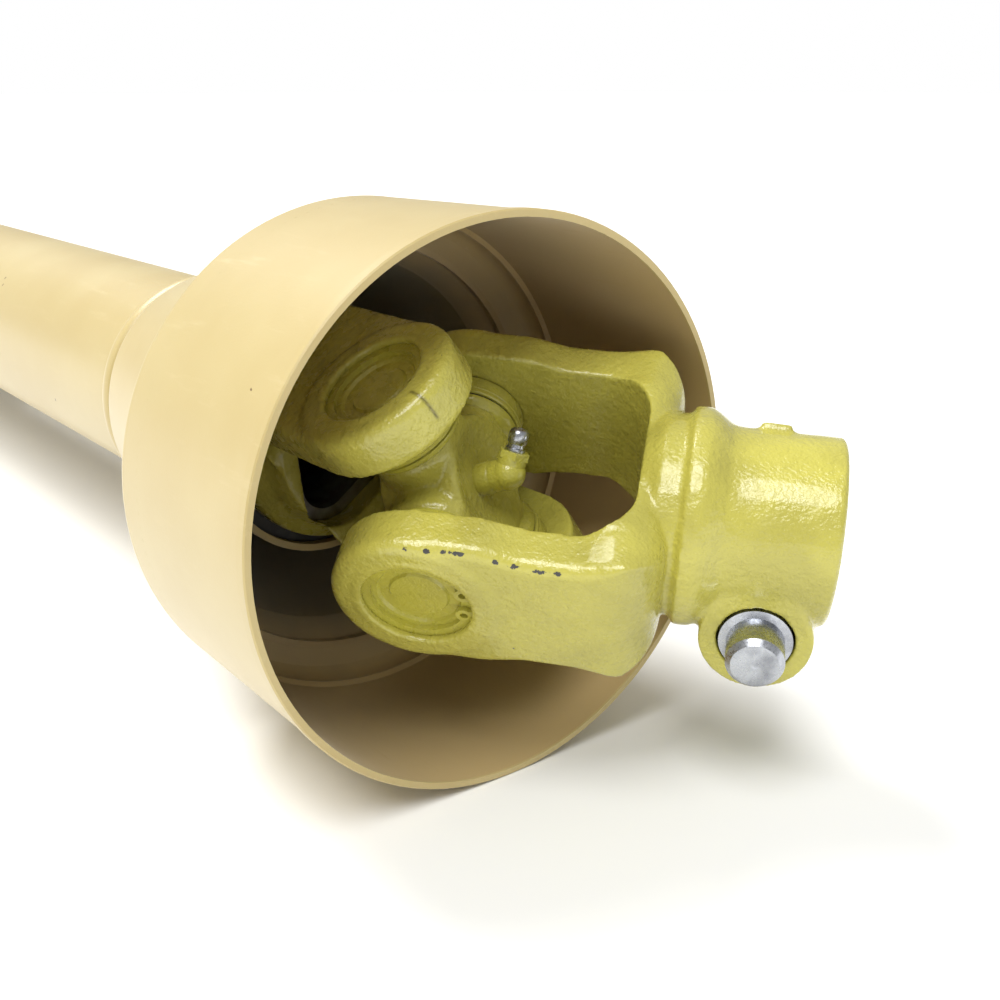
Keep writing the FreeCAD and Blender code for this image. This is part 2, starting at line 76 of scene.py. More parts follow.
def hubFrame(end):
    # X out along the hub, Z through the hub yoke's ears, origin in the middle of the cross
    alongX = Vector(mounts[end + "_spline_bore"]["axis"]).normalized()
    alongZ = Vector(joints[end + "_swing"]["axis"]).normalized()
    return frameMatrix(alongX, alongZ, jointCentre(end))


def tubeFrame(end):
    # X out of the shaft, Y through the tube yoke's ears
    outward = 1 if end == "front" else -1
    alongX = Vector((outward, 0, 0))
    alongY = Vector(joints[end + "_fold"]["axis"]).normalized()
    return frameMatrix(alongX, alongX.cross(alongY), jointCentre(end))


def crossFrame(end):
    # X out through the face that holds the grease nipple, Y and Z along the arms
    alongY = Vector(joints[end + "_fold"]["axis"]).normalized()
    alongZ = Vector(joints[end + "_swing"]["axis"]).normalized()
    return frameMatrix(alongY.cross(alongZ), alongZ, jointCentre(end))


def frameMatrix(alongX, alongZ, place):
    alongY = alongZ.cross(alongX)
    matrix = Matrix((alongX, alongY, alongZ)).transposed().to_4x4()
    matrix.translation = place
    return matrix


def toLocal(points, matrix):
    # Row-frame points, in metres, to a joint's own frame, in millimetres
    turn = np.array(matrix.to_3x3())
    return (points - np.array(matrix.translation)) @ turn / mm


def toRow(local, matrix):
    turn = np.array(matrix.to_3x3())
    return local * mm @ turn.T + np.array(matrix.translation)


# Small helpers for meshes

def meshPoints(mesh):
    flat = np.zeros(len(mesh.vertices) * 3)
    mesh.vertices.foreach_get("co", flat)
    return flat.reshape(-1, 3)


def setPoints(mesh, points):
    mesh.vertices.foreach_set("co", points.astype(np.float32).ravel())
    mesh.update()


def meshNormals(mesh):
    flat = np.zeros(len(mesh.vertices) * 3)
    mesh.vertices.foreach_get("normal", flat)
    return flat.reshape(-1, 3)


def meshEdges(mesh):
    flat = np.zeros(len(mesh.edges) * 2, np.int64)
    mesh.edges.foreach_get("vertices", flat)
    return flat.reshape(-1, 2)


def neighbourMean(values, edges, count):
    total = np.zeros_like(values)
    for column in range(values.shape[1]):
        total[:, column] += np.bincount(edges[:, 0], values[edges[:, 1], column], count)
        total[:, column] += np.bincount(edges[:, 1], values[edges[:, 0], column], count)
    degree = np.bincount(edges.ravel(), minlength=count)
    return total / np.maximum(degree, 1)[:, None]


def addAttribute(mesh, name, values):
    attribute = mesh.attributes.new(name, "FLOAT", "POINT")
    attribute.data.foreach_set("value", values.astype(np.float32))


def newPiece(name, mesh):
    piece = bpy.data.objects.new(name, mesh)
    scene.collection.objects.link(piece)
    return piece


def smoothShade(mesh):
    mesh.polygons.foreach_set("use_smooth", [True] * len(mesh.polygons))
    mesh.update()


def waves(points, size, seed):
    # Gentle lumps of about the given size, from a few waves in seeded directions
    rng = np.random.default_rng(seed)
    height = np.zeros(len(points))
    count = 9
    for wave in range(count):
        way = rng.normal(size=3)
        way *= 2 * math.pi / (size * rng.uniform(0.7, 1.6) * np.linalg.norm(way))
        height += np.sin(points @ way + rng.uniform(0, 2 * math.pi))
    return height / count


# Materials, each from its own small node tree

def newMaterial(name):
    material = bpy.data.materials.new(name)
    material.use_nodes = True
    tree = material.node_tree
    tree.nodes.clear()
    output = tree.nodes.new("ShaderNodeOutputMaterial")
    shader = tree.nodes.new("ShaderNodeBsdfPrincipled")
    tree.links.new(shader.outputs["BSDF"], output.inputs["Surface"])
    return material, tree, shader


def noiseNode(tree, size, detail=3.0, stretch=(1, 1, 1), roughness=0.5):
    # Noise whose lumps are about this many metres across, in the row frame
    place = tree.nodes.new("ShaderNodeTexCoord")
    scaled = tree.nodes.new("ShaderNodeMapping")
    scaled.inputs["Scale"].default_value = stretch
    noise = tree.nodes.new("ShaderNodeTexNoise")
    noise.inputs["Scale"].default_value = 1 / size
    noise.inputs["Detail"].default_value = detail
    noise.inputs["Roughness"].default_value = roughness
    tree.links.new(place.outputs["Object"], scaled.inputs["Vector"])
    tree.links.new(scaled.outputs["Vector"], noise.inputs["Vector"])
    return noise.outputs["Fac"]


def rampNode(tree, source, low, high, valueLow=0.0, valueHigh=1.0):
    ramp = tree.nodes.new("ShaderNodeMapRange")
    ramp.interpolation_type = "SMOOTHSTEP"
    ramp.inputs["From Min"].default_value = low
    ramp.inputs["From Max"].default_value = high
    ramp.inputs["To Min"].default_value = valueLow
    ramp.inputs["To Max"].default_value = valueHigh
    tree.links.new(source, ramp.inputs["Value"])
    return ramp.outputs["Result"]


def mathNode(tree, operation, first, second):
    node = tree.nodes.new("ShaderNodeMath")
    node.operation = operation
    for slot, value in ((0, first), (1, second)):
        if isinstance(value, (int, float)):
            node.inputs[slot].default_value = value
        else:
            tree.links.new(value, node.inputs[slot])
    return node.outputs["Value"]


def mixColour(tree, factor, first, second):
    node = tree.nodes.new("ShaderNodeMix")
    node.data_type = "RGBA"
    for slot, value in ((6, first), (7, second)):
        if isinstance(value, tuple):
            node.inputs[slot].default_value = (*value, 1)
        else:
            tree.links.new(value, node.inputs[slot])
    if isinstance(factor, float):
        node.inputs[0].default_value = factor
    else:
        tree.links.new(factor, node.inputs[0])
    return node.outputs[2]


def bumpNode(tree, height, strength, distance, below=None):
    bump = tree.nodes.new("ShaderNodeBump")
    bump.inputs["Strength"].default_value = strength
    bump.inputs["Distance"].default_value = distance
    tree.links.new(height, bump.inputs["Height"])
    if below is not None:
        tree.links.new(below, bump.inputs["Normal"])
    return bump.outputs["Normal"]


def attributeNode(tree, name):
    node = tree.nodes.new("ShaderNodeAttribute")
    node.attribute_name = name
    return node.outputs["Fac"]


enamelLook = {
    "colour": (0.53, 0.485, 0.085),
    "thinColour": (0.44, 0.40, 0.072),
    "seam": (0.10, 0.085, 0.02),
    "steel": (0.045, 0.043, 0.040),
    "roughness": (0.20, 0.34),
    "peelSize": 0.0019,
    "peelDepth": 0.0009,
    "grainSize": 0.0007,
    "grainDepth": 0.0005,
    "coat": 0.5,
    "coatRoughness": 0.08,
    "cloudSize": 0.018,
    "glossPatch": 0.006,
    "chipRagged": 0.0017,
    "chipLimits": (1.02, 1.06),
    "chipRoughness": 0.35,
    "chipDepth": 0.00025,
    "seamDark": 0.85,
}


def enamel(name, look, chips=True):
    # Thick gloss paint over a forging: orange peel, thin places, chips down to dark steel
    material, tree, shader = newMaterial(name)
    cloud = noiseNode(tree, look["cloudSize"], 4.0)
    colour = mixColour(tree, rampNode(tree, cloud, 0.35, 0.7), look["colour"], look["thinColour"])
    peel = noiseNode(tree, look["peelSize"], 1.5)
    grain = noiseNode(tree, look["grainSize"], 1.0)
    normal = bumpNode(tree, peel, 0.5, look["peelDepth"])
    normal = bumpNode(tree, grain, 0.4, look["grainDepth"], normal)
    rough = rampNode(tree, noiseNode(tree, look["glossPatch"], 3.0), 0.3, 0.75, *look["roughness"])
    if chips:
        edge = noiseNode(tree, look["chipRagged"], 3.0, roughness=0.7)
        chip = mathNode(tree, "ADD", attributeNode(tree, "chip"), mathNode(tree, "MULTIPLY", edge, 0.9))
        chip = rampNode(tree, chip, *look["chipLimits"])
        seam = mathNode(tree, "MULTIPLY", attributeNode(tree, "seam"), look["seamDark"])
        colour = mixColour(tree, seam, colour, look["seam"])
        colour = mixColour(tree, chip, colour, look["steel"])
        rough = mathNode(tree, "ADD", rough, mathNode(tree, "MULTIPLY", chip, look["chipRoughness"]))
        flat = mathNode(tree, "SUBTRACT", 1.0, mathNode(tree, "MAXIMUM", chip, seam))
        normal = bumpNode(tree, flat, 0.6, look["chipDepth"], normal)
    tree.links.new(colour, shader.inputs["Base Color"])
    tree.links.new(rough, shader.inputs["Roughness"])
    tree.links.new(normal, shader.inputs["Normal"])
    shader.inputs["Coat Weight"].default_value = look["coat"]
    shader.inputs["Coat Roughness"].default_value = look["coatRoughness"]
    return material


plasticLook = {
    "colour": (0.50, 0.39, 0.165),
    "paleColour": (0.54, 0.435, 0.20),
    "dustColour": (0.70, 0.60, 0.36),
    # Painted shade inside the guard: a duller colour on its inner face, and a dark one deep in its neck
    "insideShadeColour": (0.50, 0.37, 0.175),
    "deepShadeColour": (0.27, 0.24, 0.18),
    "nick": (0.16, 0.09, 0.03),
    "roughness": (0.36, 0.50),
    "subsurface": 0.05,
    "sheen": 0.18,
    "sheenRoughness": 0.4,
    "cloudSize": 0.06,
    "scuffSize": 0.004,
    "scuffShare": 0.25,
    "nickSize": 0.0035,
    "nickSpacing": 0.021,
    "nickLimits": (1.17, 1.19),
    "grainSize": 0.0006,
    "rippleSize": 0.012,
    # Where the painted shade deep inside the guard begins and ends, and how ragged its edge is
    "deepShadePatch": 0.02,
    "deepShadeRagged": 0.012,
    "deepShadeDepths": (0.074, 0.104),
}


# Middle of the guard's wall: metres in from its mouth, and metres from the shaft's axis
guardWall = (
    (0.0, 0.0786), (0.060, 0.0770), (0.075, 0.0764), (0.080, 0.0690), (0.084, 0.0645),
    (0.0895, 0.0607), (0.160, 0.0465), (0.186, 0.0400))


def guardPlaces():
    # The middle between the two guards' mouths, and how far each mouth is from it
    low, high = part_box("rear_guard_bell")[0].x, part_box("front_guard_bell")[1].x
    return (low + high) / 2, (high - low) / 2


def guardInside(tree):
    # 1 on the inner face of a guard, 0 on its outer face, and how far in the point is
    middle, reach = guardPlaces()
    place = tree.nodes.new("ShaderNodeTexCoord")
    parts = tree.nodes.new("ShaderNodeSeparateXYZ")
    tree.links.new(place.outputs["Object"], parts.inputs["Vector"])
    along = mathNode(tree, "ABSOLUTE", mathNode(tree, "SUBTRACT", parts.outputs["X"], middle), 0.0)
    depth = mathNode(tree, "SUBTRACT", reach, along)
    across = mathNode(tree, "MULTIPLY", parts.outputs["Y"], parts.outputs["Y"])
    upward = mathNode(tree, "MULTIPLY", parts.outputs["Z"], parts.outputs["Z"])
    across = mathNode(tree, "SQRT", mathNode(tree, "ADD", across, upward), 0.0)
    wall = 0.0
    for (near, nearRadius), (far, farRadius) in zip(guardWall, guardWall[1:]):
        step = tree.nodes.new("ShaderNodeMapRange")
        step.inputs["From Min"].default_value = near
        step.inputs["From Max"].default_value = far
        step.inputs["To Min"].default_value = 0.0
        step.inputs["To Max"].default_value = farRadius - nearRadius
        tree.links.new(depth, step.inputs["Value"])
        wall = mathNode(tree, "ADD", step.outputs["Result"], wall)
    wall = mathNode(tree, "ADD", wall, guardWall[0][1])
    inside = rampNode(tree, mathNode(tree, "SUBTRACT", wall, across), -0.0002, 0.0002)
    inside = mathNode(tree, "MULTIPLY", inside, rampNode(tree, depth, 0.0003, 0.0012))
    return inside, depth


def guardPlastic(name, look, paintShadeInside=True):
    # Moulded polyethylene: faint flow clouds, fine scuffs round it, a few dark nicks; inside a guard, painted
    # shade: a duller colour that darkens to near black deep in the neck
    material, tree, shader = newMaterial(name)
    cloud = noiseNode(tree, look["cloudSize"], 4.0)
    colour = mixColour(tree, rampNode(tree, cloud, 0.35, 0.7), look["colour"], look["paleColour"])
    scuff = rampNode(tree, noiseNode(tree, look["scuffSize"], 5.0, (0.15, 1, 1), 0.7), 0.55, 0.8)
    dust = mathNode(tree, "MULTIPLY", scuff, look["scuffShare"])
    colour = mixColour(tree, dust, colour, look["dustColour"])
    spots = noiseNode(tree, look["nickSize"], 2.0, (1, 1, 0.7))
    gate = noiseNode(tree, look["nickSpacing"], 1.0)
    nick = mathNode(tree, "ADD", spots, mathNode(tree, "MULTIPLY", gate, 0.6))
    nick = rampNode(tree, nick, *look["nickLimits"])
    colour = mixColour(tree, nick, colour, look["nick"])
    # Painted shade: the inner face is duller and goes dark deep in the neck, where shade falls
    if paintShadeInside:
        inside, depth = guardInside(tree)
        patch = noiseNode(tree, look["deepShadePatch"], 3.0)
        deepShade = mathNode(tree, "ADD", depth, mathNode(tree, "MULTIPLY", patch, look["deepShadeRagged"]))
        deepShade = rampNode(tree, deepShade, *look["deepShadeDepths"])
        paintedShade = mixColour(tree, deepShade, look["insideShadeColour"], look["deepShadeColour"])
        colour = mixColour(tree, inside, colour, paintedShade)
    grain = noiseNode(tree, look["grainSize"], 2.0)
    normal = bumpNode(tree, grain, 0.12, 0.0002)
    normal = bumpNode(tree, noiseNode(tree, look["rippleSize"], 2.0), 0.10, 0.0006, normal)
    rough = rampNode(tree, scuff, 0.0, 1.0, *look["roughness"])
    tree.links.new(colour, shader.inputs["Base Color"])
    tree.links.new(rough, shader.inputs["Roughness"])
    tree.links.new(normal, shader.inputs["Normal"])
    shader.inputs["Subsurface Weight"].default_value = look["subsurface"]
    shader.inputs["Subsurface Radius"].default_value = (0.004, 0.0025, 0.001)
    shader.inputs["Subsurface Scale"].default_value = 1.0
    shader.inputs["Sheen Weight"].default_value = look["sheen"]
    shader.inputs["Sheen Roughness"].default_value = look["sheenRoughness"]
    return material


def metal(name, colour, darkColour, roughness, lineSize, stretch):
    # Bare steel with drawn or turned lines and darker patches
    material, tree, shader = newMaterial(name)
    patch = rampNode(tree, noiseNode(tree, 0.007, 4.0), 0.35, 0.75)
    mixed = mixColour(tree, patch, colour, darkColour)
    lines = noiseNode(tree, lineSize, 2.0, stretch)
    rough = rampNode(tree, lines, 0.3, 0.7, *roughness)
    tree.links.new(mixed, shader.inputs["Base Color"])
    tree.links.new(rough, shader.inputs["Roughness"])
    tree.links.new(bumpNode(tree, lines, 0.15, 0.0001), shader.inputs["Normal"])
    shader.inputs["Metallic"].default_value = 1.0
    return material


def softMaterial(name, colour, otherColour, roughness, grainSize):
    # Rubber or nylon: two close tones and a fine grain
    material, tree, shader = newMaterial(name)
    patch = rampNode(tree, noiseNode(tree, 0.005, 4.0), 0.35, 0.75)
    tree.links.new(mixColour(tree, patch, colour, otherColour), shader.inputs["Base Color"])
    grain = noiseNode(tree, grainSize, 2.0)
    tree.links.new(rampNode(tree, grain, 0.3, 0.7, *roughness), shader.inputs["Roughness"])
    tree.links.new(bumpNode(tree, grain, 0.2, 0.0001), shader.inputs["Normal"])
    return material


print("materials")
forgedEnamel = enamel("forgedEnamel", enamelLook)
thinEnamel = enamel("thinEnamel", {**enamelLook, "colour": (0.52, 0.48, 0.065), "peelDepth": 0.0005}, False)
tanPlastic = guardPlastic("tanPlastic", plasticLook)
tubePlastic = guardPlastic("tubePlastic", plasticLook, False)
drawnSteel = metal("drawnSteel", (0.36, 0.35, 0.33), (0.22, 0.20, 0.18), (0.30, 0.45), 0.0007, (0.05, 1, 1))
groundSteel = metal("groundSteel", (0.62, 0.62, 0.61), (0.45, 0.45, 0.45), (0.18, 0.30), 0.0006, (1, 1, 1))
zincPlate = metal("zincPlate", (0.56, 0.58, 0.62), (0.30, 0.31, 0.34), (0.22, 0.38), 0.0008, (1, 1, 1))
springSteel = metal("springSteel", (0.20, 0.20, 0.21), (0.10, 0.10, 0.10), (0.25, 0.40), 0.0006, (1, 1, 1))
sealRubber = softMaterial("sealRubber", (0.014, 0.013, 0.012), (0.030, 0.027, 0.022), (0.45, 0.65), 0.0005)
whiteNylon = softMaterial("whiteNylon", (0.72, 0.70, 0.64), (0.62, 0.59, 0.52), (0.35, 0.50), 0.0008)
blackNylon = softMaterial("blackNylon", (0.020, 0.020, 0.021), (0.035, 0.035, 0.036), (0.40, 0.55), 0.0008)

nodeFinish = {
    "guard_bell": tanPlastic,
    "guard_neck": tanPlastic,
    "guard_tube": tubePlastic,
    "guard_bearing": blackNylon,
    "tube_yoke": forgedEnamel,
    "profile_tube": drawnSteel,
    "tube_pin": groundSteel,
    "cross": forgedEnamel,
    "grease_elbow": thinEnamel,
    "grease_nipple": zincPlate,
    "grease_ball": groundSteel,
    "hub_yoke": forgedEnamel,
    "hub_base": forgedEnamel,
    "hub_arms": forgedEnamel,
    "lock_pin": zincPlate,
    "lock_spring": springSteel,
    "lock_retainer": springSteel,
    "cap_a": thinEnamel,
    "cap_b": thinEnamel,
    "seals": sealRubber,
    "snap_rings": thinEnamel,
    "thrust_washers": whiteNylon,
    "needles": groundSteel,
}


def finishCadNodes():
    for name, node in nodes.items():
        endings = [ending for ending in nodeFinish if name.endswith(ending)]
        material = nodeFinish[max(endings, key=len)]
        node.data.materials.clear()
        node.data.materials.append(material)


# Forgings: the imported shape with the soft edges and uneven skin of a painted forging

forging = {
    "voxel": 0.6 * mm,
    "softening": 8,
    "deburring": 3,
    "lumpSize": 0.013,
    "lumpHeight": 0.00012,
    "lumpSeed": 7,
}


def joinedMesh(sources, name):
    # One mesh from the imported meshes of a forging
    points, faces = [], []
    for source in sources:
        start = len(points)
        points += [tuple(vertex.co) for vertex in source.data.vertices]
        faces += [[start + corner for corner in polygon.vertices] for polygon in source.data.polygons]
    mesh = bpy.data.meshes.new(name)
    mesh.from_pydata(points, [], faces)
    return mesh


def mainPart(mesh):
    # Only the one closed skin: whatever the remesh left inside it goes
    count = len(mesh.vertices)
    edges = meshEdges(mesh)
    label = np.arange(count)
    while True:
        least = np.minimum(label[edges[:, 0]], label[edges[:, 1]])
        joined = label.copy()
        np.minimum.at(joined, edges[:, 0], least)
        np.minimum.at(joined, edges[:, 1], least)
        joined = joined[joined]
        if (joined == label).all():
            break
        label = joined
    main = np.bincount(label).argmax()
    print(mesh.name, "parts", len(np.unique(label)), "faces", len(mesh.polygons))
    if (label == main).all():
        return
    form = bmesh.new()
    form.from_mesh(mesh)
    form.verts.ensure_lookup_table()
    stray = [form.verts[place] for place in np.flatnonzero(label != main)]
    bmesh.ops.delete(form, geom=stray, context="VERTS")
    form.to_mesh(mesh)
    form.free()


def forgedPiece(replaced, body, name, shaped, machined, chipping, matrix):
    piece = newPiece(name, joinedMesh([nodes[node] for node in replaced], name))
    remesh = piece.modifiers.new("skin", "REMESH")
    remesh.mode = "VOXEL"
    remesh.voxel_size = forging["voxel"]
    remesh.adaptivity = 0
    graph = bpy.context.evaluated_depsgraph_get()
    mesh = bpy.data.meshes.new_from_object(piece.evaluated_get(graph))
    piece.modifiers.clear()
    piece.data = mesh
    mesh.name = name
    mainPart(mesh)
    edges = meshEdges(mesh)
    local = shaped(toLocal(meshPoints(mesh), matrix))
    points = toRow(local, matrix)
    count = len(points)
    sharp = machined(local)
    # a little smoothing everywhere takes the voxel steps away, the rest only rounds forged edges
    for step in range(forging["softening"]):
        share = 0.5 * (1 - sharp)[:, None] + (0.5 if step < forging["deburring"] else 0.0) * sharp[:, None]
        points = points + (neighbourMean(points, edges, count) - points) * share
    setPoints(mesh, points)
    height = forging["lumpHeight"] * (1 - sharp)
    lumps = waves(points, forging["lumpSize"], forging["lumpSeed"]) * height
    setPoints(mesh, points + meshNormals(mesh) * (lumps - height)[:, None])
    chip, seam = chipping(toLocal(points, matrix))
    addAttribute(mesh, "chip", chip)
    addAttribute(mesh, "seam", seam)
    smoothShade(mesh)
    mesh.materials.clear()
    mesh.materials.append(forgedEnamel)
    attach(piece, body)
    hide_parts(*replaced)
    return piece


hubPin = {
    "station": 89.5,
    "offset": 22.0,
    "sideAngle": 162.0,
    "room": 0.45,
}


def fade(value, low, high):
    # 1 below low, 0 above high
    share = np.clip((high - value) / (high - low), 0, 1)
    return share * share * (3 - 2 * share)


def asMade(local):
    return local


def armWaist(x):
    # how much narrower each side of an arm is between its ear and the base
    return 2.6 * fade(-x, -30, -15) * fade(x, 40, 56)


def pinSide(local):
    # sideways from the push pin's axis, and the direction that this is measured in
    angle = math.radians(hubPin["sideAngle"])
    way = np.array((0.0, math.cos(angle), math.sin(angle)))
    return local @ way - hubPin["offset"], way


def hubShape(local):
    x, y, z = local.T
    waist = armWaist(x) * fade(-np.abs(z), -30, -26) * fade(-np.abs(y), -24, -10)
    shaped = np.stack([x, y - np.sign(y) * waist, z], 1)
    # room for the push pin to slide
    across, way = pinSide(shaped)
    away = np.hypot(x - hubPin["station"], across)
    share = hubPin["room"] * fade(away, 7.0, 8.4) / np.maximum(away, 1.0)
    shaped[:, 0] += (x - hubPin["station"]) * share
    return shaped + (across * share)[:, None] * way


def crossShape(local):
    # flatter in the middle than where its arms come out
    x, y, z = local.T
    limit = 12.6 - 2.6 * fade(np.hypot(y, z), 9, 18)
    return np.stack([np.clip(x, -limit, limit), y, z], 1)


# Where the forgings are cut bright: each pair is where the bare steel ends and begins, in millimetres
machined = {
    "splineBore": (18.2, 19.4),
    "splineStart": (-52, -49),
    "hubFace": (-106.6, -105.4),
    "hubFaceShare": 0.8,
    "earBore": (16.8, 18.2),
    "earInside": (-31, -28),
    "pinBoss": (11.0, 12.2),
    "tubeNeck": (-69, -66),
    "crossArms": (-23.6, -22.4),
}


def hubMachined(local):
    x, y, z = local.T
    spline = fade(np.hypot(y, z), *machined["splineBore"]) * fade(-x, *machined["splineStart"])
    face = fade(-x, *machined["hubFace"])
    ears = fade(np.hypot(x, y), *machined["earBore"]) * fade(-np.abs(z), *machined["earInside"])
    pin = fade(np.hypot(x - hubPin["station"], pinSide(local)[0]), *machined["pinBoss"])
    return np.maximum.reduce([spline, face * machined["hubFaceShare"], ears, pin])


def tubeMachined(local):
    x, y, z = local.T
    ears = fade(np.hypot(x, z), *machined["earBore"]) * fade(-np.abs(y), *machined["earInside"])
    return np.maximum(ears, fade(x, *machined["tubeNeck"]))


def crossMachined(local):
    reach = np.maximum(np.abs(local[:, 1]), np.abs(local[:, 2]))
    return fade(-reach, *machined["crossArms"])


def blob(local, place, size, stretch=(1, 1, 1)):
    away = (local - np.array(place)) * np.array(stretch) / size
    return np.exp(-(away ** 2).sum(1))


# Where along the crease each chip is, and its length
creaseChips = (
    (-1.0, 2.0), (4.5, 1.3), (9.0, 2.6), (13.0, 1.6),
    (22.0, 1.4), (26.5, 2.6), (33.0, 3.0), (38.0, 1.6))
crease = {
    "across": 22.4,
    "height": 42.2,
    "strength": 0.74,
}
# Strength, place, size and stretch of the chips beside it
earChips = (
    (0.7, (19.5, 8.0, 43.0), 0.8, (1.0, 0.8, 0.5)),
    (0.7, (21.0, 4.5, 43.0), 0.8, (0.7, 1.2, 0.5)),
    (0.6, (26.0, -14.0, 43.0), 1.0, (1.0, 1.0, 0.5)))
earRim = {
    "radius": 21.8,
    "height": 43.2,
    "grains": 9,
    "firstAngle": -80,
    "spacing": 6,
    "seamWidth": 0.45,
}


def hubChips(local):
    # a broken line along the crease of the ear that is knocked most, and a few elsewhere
    total = np.zeros(len(local))
    for start, length in creaseChips:
        place = (start, crease["across"] - float(armWaist(np.array(start))), crease["height"])
        total += crease["strength"] * blob(local, place, 1.0, (1 / length, 0.9, 0.5))
    for strength, place, size, stretch in earChips:
        total += strength * blob(local, place, size, stretch)
    return np.minimum(total, 0.70), np.zeros(len(local))


def tubeChips(local):
    total = np.zeros(len(local))
    radius, height = earRim["radius"], earRim["height"]
    for grain in range(earRim["grains"]):
        angle = math.radians(earRim["firstAngle"] + earRim["spacing"] * grain)
        place = (radius * math.cos(angle), height, radius * math.sin(angle))
        total += 0.60 * blob(local, place, 0.9)
        total += 0.52 * blob(local, (place[0], -height, -place[2]), 0.9)
    # the flash line of the forging, across the outer end of each ear
    x, y, z = local.T
    seam = np.exp(-(z / earRim["seamWidth"]) ** 2) * fade(-x, -19.5, -18.0) * fade(-np.abs(y), -36.0, -34.0)
    return np.minimum(total, 0.68), seam


def noChips(local):
    return np.zeros(len(local)), np.zeros(len(local))


def buildForgings():
    for end in ends:
        hubNodes = [end + part for part in ("_hub_yoke", "_hub_base", "_hub_arms")]
        forgedPiece(hubNodes, end + "_hub", end + "HubForging",
                    hubShape, hubMachined, hubChips, hubFrame(end))
        forgedPiece([end + "_tube_yoke"], end + "_shaft", end + "TubeForging",
                    asMade, tubeMachined, tubeChips, tubeFrame(end))
        forgedPiece([end + "_cross"], end + "_cross", end + "CrossForging",
                    crossShape, crossMachined, noChips, crossFrame(end))
        print("forgings,", end, "end")


# Small turned pieces: bearing skirts, seal lips, cross collars and the grease fitting,
# each an outline of radius and height in millimetres

bearingSkirt = (
    (14.2, 24.05), (15.4, 23.95), (15.75, 24.25), (15.75, 25.2), (15.55, 25.4), (15.55, 25.7),
    (15.75, 25.9), (15.75, 29.7), (15.55, 29.9), (15.15, 29.9), (15.15, 25.4), (14.2, 25.35))
sealLip = (
    (9.45, 23.6), (14.4, 23.55), (14.9, 23.65), (14.9, 23.9), (14.1, 24.0), (14.1, 25.2),
    (9.9, 25.3), (9.45, 25.0))
crossCollar = (
    (10.0, 19.4), (12.5, 19.6), (14.3, 21.2), (15.2, 22.4), (15.2, 23.2), (14.9, 23.4),
    (10.0, 23.4))
greaseFoot = ((3.05, 8.6), (4.3, 8.6), (4.7, 9.0), (4.7, 13.9), (4.35, 14.5), (3.05, 14.6))
greaseHead = (
    (0.85, 6.65), (2.9, 6.65), (2.9, 7.35), (2.45, 7.7), (2.35, 8.5), (2.8, 9.1), (2.85, 11.4),
    (2.6, 12.3), (1.9, 12.95), (1.2, 13.1), (0.9, 12.9), (0.85, 12.6))


greaseFitting = {
    "lean": 30,
    "knee": 19.0,
}


def turnedMesh(name, rings, count=96):
    # Closed outlines of (radius, height) turned about the Z of their own frames
    points, faces = [], []
    for outline, matrix in rings:
        start, size = len(points), len(outline)
        for step in range(count):
            angle = 2 * math.pi * step / count
            for radius, height in outline:
                spot = Vector((radius * math.cos(angle), radius * math.sin(angle), height)) * mm
                points.append(matrix @ spot)
        for step in range(count):
            here, there = start + step * size, start + (step + 1) % count * size
            for side in range(size):
                after = (side + 1) % size
                faces.append((here + side, there + side, there + after, here + after))
    mesh = bpy.data.meshes.new(name)
    mesh.from_pydata(points, [], faces)
    mesh.update()
    return mesh


def turnedPiece(name, rings, material, body, replaced=()):
    mesh = turnedMesh(name, rings)
    smoothShade(mesh)
    mesh.set_sharp_from_angle(angle=math.radians(38))
    mesh.materials.append(material)
    piece = newPiece(name, mesh)
    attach(piece, body)
    if replaced:
        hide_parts(*replaced)
    return piece


def alongAxis(way, place):
    # A frame with its Z along the given direction
    matrix = Vector(way).normalized().to_track_quat("Z", "Y").to_matrix().to_4x4()
    matrix.translation = place
    return matrix


def greaseFrame(end):
    # The grease head's own frame: it leans out of the cross between two of its arms
    frameOfCross = crossFrame(end)
    lean = math.radians(greaseFitting["lean"])
    side = math.cos(lean) / math.sqrt(2)
    way = frameOfCross.to_3x3() @ Vector((math.sin(lean), side, -side))
    return alongAxis(way, frameOfCross @ Vector((greaseFitting["knee"] * mm, 0, 0)))


def buildBearings(end):
    centre = jointCentre(end)
    for ears, body, joint in (("Tube", "_shaft", "_fold"), ("Hub", "_hub", "_swing")):
        axis = Vector(joints[end + joint]["axis"])
        sides = [alongAxis(axis, centre), alongAxis(-axis, centre)]
        turnedPiece(end + ears + "Skirts", [(bearingSkirt, side) for side in sides],
                    thinEnamel, end + body)
        turnedPiece(end + ears + "SealLips", [(sealLip, side) for side in sides],
                    sealRubber, end + body, [end + "_" + ears.lower() + "_seals"])
    frameOfCross = crossFrame(end)
    arms = [frameOfCross.to_3x3() @ Vector(way) for way in ((0, 1, 0), (0, -1, 0), (0, 0, 1), (0, 0, -1))]
    turnedPiece(end + "CrossCollars", [(crossCollar, alongAxis(arm, centre)) for arm in arms],
                thinEnamel, end + "_cross")
    foot = alongAxis(frameOfCross.to_3x3() @ Vector((1, 0, 0)), centre)
    turnedPiece(end + "GreaseFoot", [(greaseFoot, foot)], thinEnamel, end + "_cross")
    turnedPiece(end + "GreaseHead", [(greaseHead, greaseFrame(end))],
                zincPlate, end + "_cross", [end + "_grease_nipple"])
    print("bearings and grease fitting,", end, "end")


# Floor, light and camera

studio = {
    "floorColour": (0.90, 0.90, 0.89),
    "floorSize": 60.0,
    "skyStrength": 0.42,
    "backdrop": 1.0,
    "keyWay": (0.27, -0.44, 0.86),
    "keyStrength": 2.5,
    "keySpread": 36,
    "sideWay": (-0.58, -0.10, 0.80),
    "sideStrength": 2.6,
    "sideSpread": 30,
}


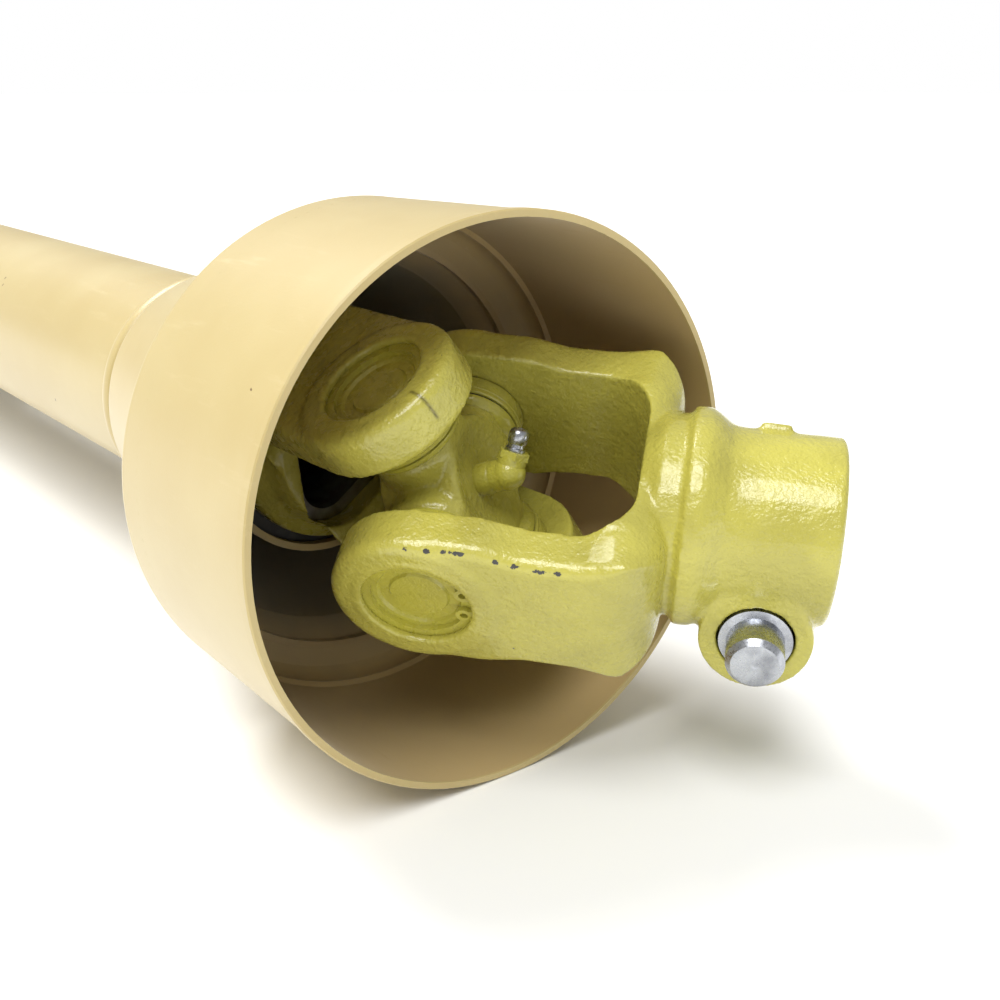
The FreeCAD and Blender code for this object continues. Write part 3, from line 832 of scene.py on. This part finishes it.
def plainMaterial(name, colour, roughness):
    material, tree, shader = newMaterial(name)
    shader.inputs["Base Color"].default_value = (*colour, 1)
    shader.inputs["Roughness"].default_value = roughness
    return material


def softSun(name, way, strength, spread):
    # A wide, distant light that comes from the given direction
    data = bpy.data.lights.new(name, "SUN")
    data.energy = strength
    data.angle = math.radians(spread)
    lamp = bpy.data.objects.new(name, data)
    lamp.rotation_euler = (-Vector(way)).to_track_quat("-Z", "Y").to_euler()
    scene.collection.objects.link(lamp)


def buildStudio():
    half = studio["floorSize"] / 2
    low = cadLow.z
    mesh = bpy.data.meshes.new("floor")
    corners = [(-half, -half, low), (half, -half, low), (half, half, low), (-half, half, low)]
    mesh.from_pydata(corners, [], [(0, 1, 2, 3)])
    mesh.materials.append(plainMaterial("paleFloor", studio["floorColour"], 0.85))
    floor = newPiece("floor", mesh)
    world = bpy.data.worlds.new("studio")
    world.use_nodes = True
    tree = world.node_tree
    sky = tree.nodes["Background"]
    path = tree.nodes.new("ShaderNodeLightPath")
    seen = path.outputs["Is Camera Ray"]
    strength = rampNode(tree, seen, 0.0, 1.0, studio["skyStrength"], studio["backdrop"])
    tree.links.new(strength, sky.inputs["Strength"])
    sky.inputs["Color"].default_value = (1, 1, 1, 1)
    scene.world = world
    softSun("key", studio["keyWay"], studio["keyStrength"], studio["keySpread"])
    softSun("side", studio["sideWay"], studio["sideStrength"], studio["sideSpread"])
    scene.view_settings.view_transform = "Standard"
    scene.view_settings.look = "None"


camera = {
    "azimuth": 52.17,
    "elevation": 18.27,
    "distance": 0.3376,
    "lens": 45.1,
    "aimRight": -3.61 * mm,
    "aimUp": 3.25 * mm,
}


def mouthCentre():
    return Vector((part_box("front_guard_bell")[1].x, 0, 0))


def buildCamera():
    azimuth, elevation = math.radians(camera["azimuth"]), math.radians(camera["elevation"])
    right = Vector((math.cos(azimuth), math.sin(azimuth), 0))
    toward = Vector((
        math.sin(azimuth) * math.cos(elevation),
        -math.cos(azimuth) * math.cos(elevation),
        math.sin(elevation)))
    up = toward.cross(right)
    data = bpy.data.cameras.new("camera")
    data.lens = camera["lens"]
    data.sensor_width = 36
    data.clip_start = 0.01
    seer = bpy.data.objects.new("camera", data)
    place = mouthCentre() + toward * camera["distance"] + right * camera["aimRight"] + up * camera["aimUp"]
    matrix = Matrix((right, up, toward)).transposed().to_4x4()
    matrix.translation = place
    seer.matrix_world = matrix
    scene.collection.objects.link(seer)
    scene.camera = seer


buildCamera()
buildStudio()
finishCadNodes()
buildForgings()
for end in ends:
    buildBearings(end)
